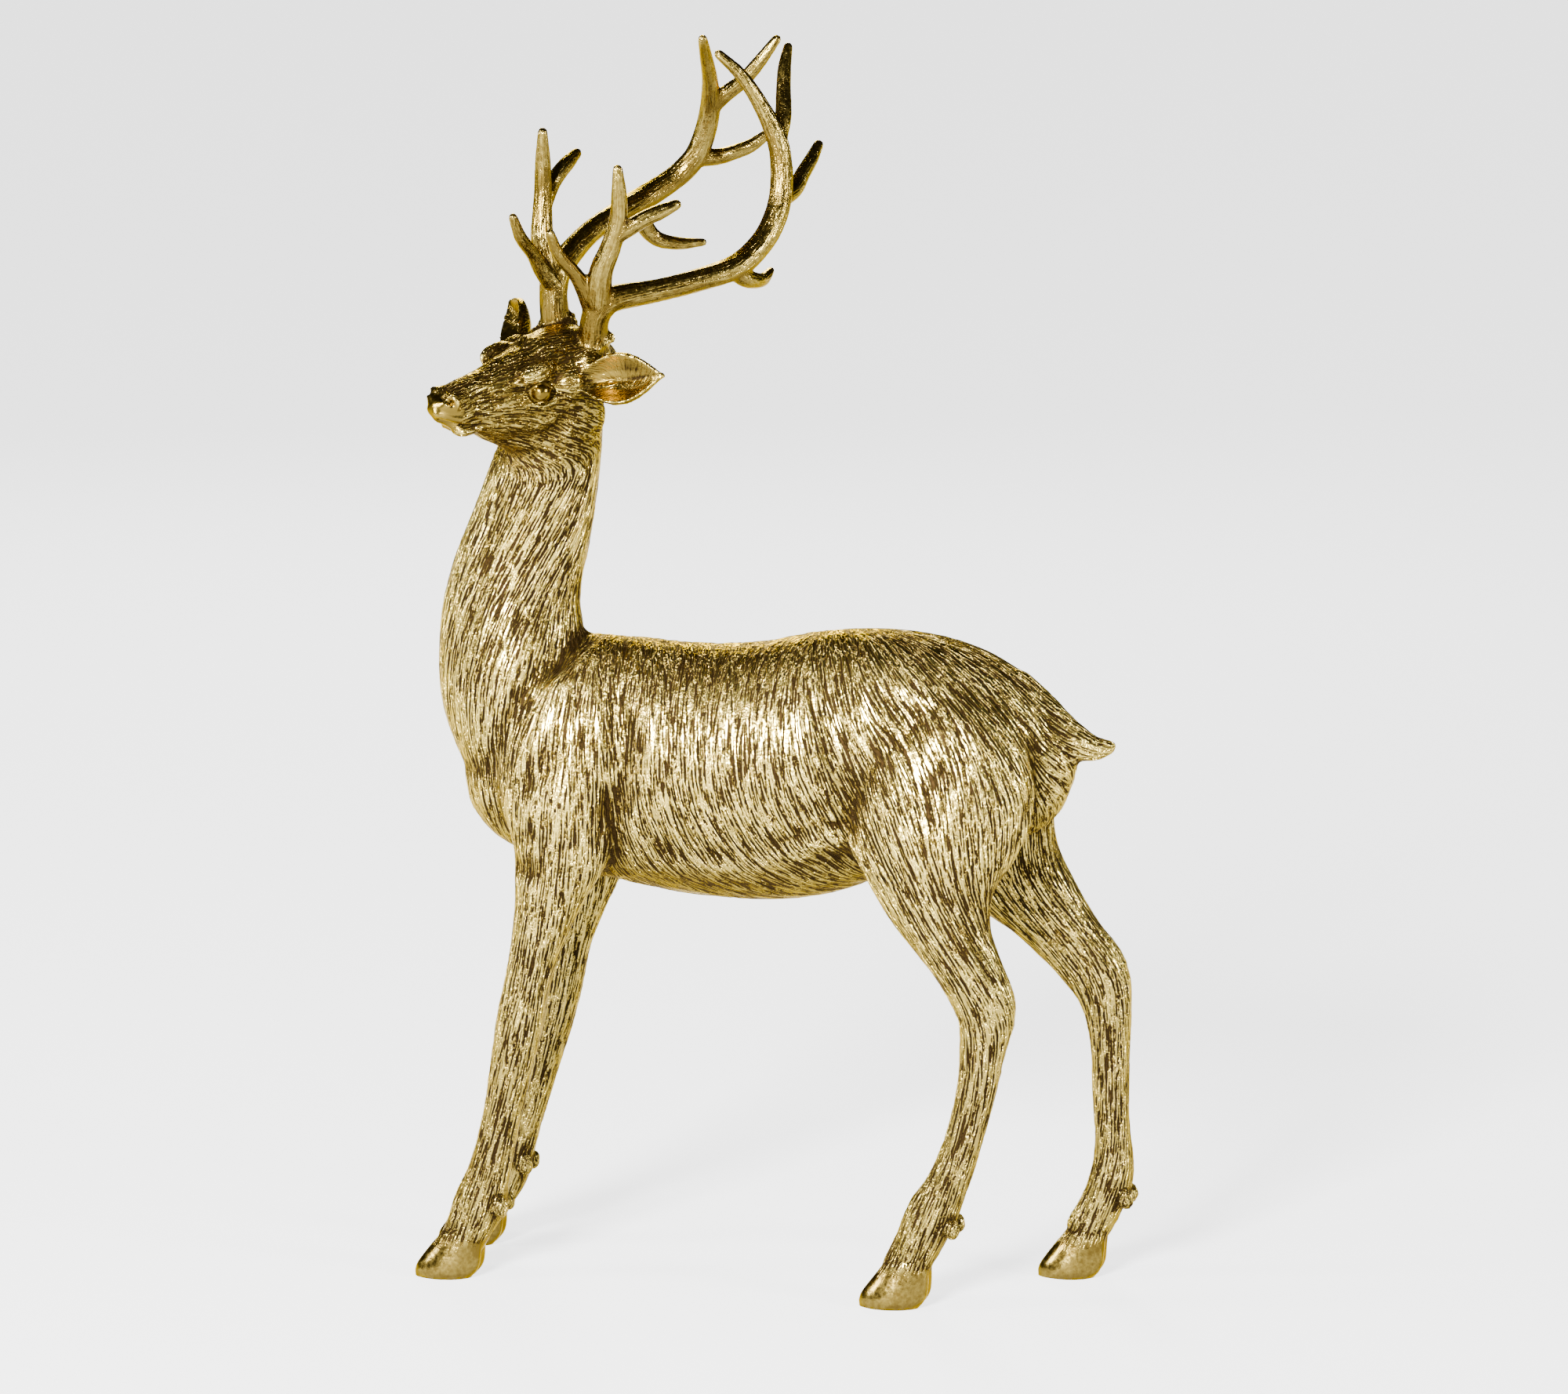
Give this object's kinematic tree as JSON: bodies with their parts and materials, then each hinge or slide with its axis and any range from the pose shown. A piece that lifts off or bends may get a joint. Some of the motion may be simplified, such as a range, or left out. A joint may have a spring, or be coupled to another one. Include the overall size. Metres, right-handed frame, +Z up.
{
  "type": "reindeer figurine",
  "caption": "Standing reindeer figurine with branched antlers, its head turned to its left, cast in one piece and gilded.",
  "frame": {"origin": "on the floor, under the middle of the bounding box", "axes": "+Z up, the body runs along X with the nose end towards -X, and the head is turned towards -Y"},
  "size_m": [0.267, 0.1224, 0.4582],
  "materials": {
    "antiqued_gold": "crinkled antiqued gold leaf over cast resin, dark in the recesses of the fur"
  },
  "bodies": {
    "root": {"reindeer": "antiqued_gold"}
  },
  "joints": []
}
